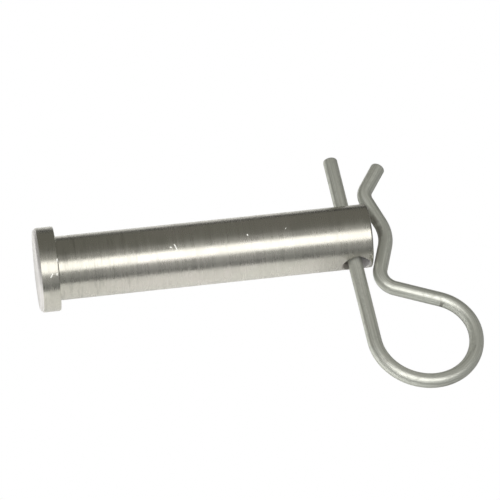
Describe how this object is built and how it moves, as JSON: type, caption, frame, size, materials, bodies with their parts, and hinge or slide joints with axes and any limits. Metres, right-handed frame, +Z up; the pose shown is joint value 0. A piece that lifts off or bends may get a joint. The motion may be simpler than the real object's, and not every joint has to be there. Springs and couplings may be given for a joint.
{
  "type": "hitch pin lock",
  "caption": "Straight clevis pin with a round head, locked by a spring wire clip through the cross hole near its end.",
  "frame": {"origin": "centre of the outer face of the pin's head", "axes": "+X along the pin from its head to its drilled end; the cross hole runs along Y with the clip's loop on the -Y side; +Z is up as the pin lies flat"},
  "size_m": [0.1072, 0.068, 0.021],
  "materials": {
    "pin_steel": "fine turned, bright",
    "clip_wire": "drawn spring wire, satin"
  },
  "bodies": {
    "pin": {"clevis_pin": "pin_steel"},
    "leg": {"clip_leg": "clip_wire"},
    "loop": {"clip_loop": "clip_wire"},
    "arm": {"clip_arm": "clip_wire"}
  },
  "joints": [
    {"name": "clip_pull", "type": "slide", "parent": "pin", "child": "leg", "axis": [0.0523, -0.9986, 0], "range_m": [0, 0.031]},
    {"name": "clip_swivel", "type": "hinge", "parent": "leg", "child": "loop", "pos_m": [0.07827, 0, 0], "axis": [0.0523, -0.9986, 0], "range_deg": [-12, 24]},
    {"name": "clip_flex", "type": "hinge", "parent": "loop", "child": "arm", "pos_m": [0.09339, -0.04453, -0.00134], "axis": [-0.1044, -0.0055, -0.9945], "range_deg": [0, 9], "stiffness_Nm_per_rad": 2}
  ],
  "couplings": [
    {"joint": "clip_flex", "follows": "clip_pull", "rad_per_m": 4.9}
  ]
}
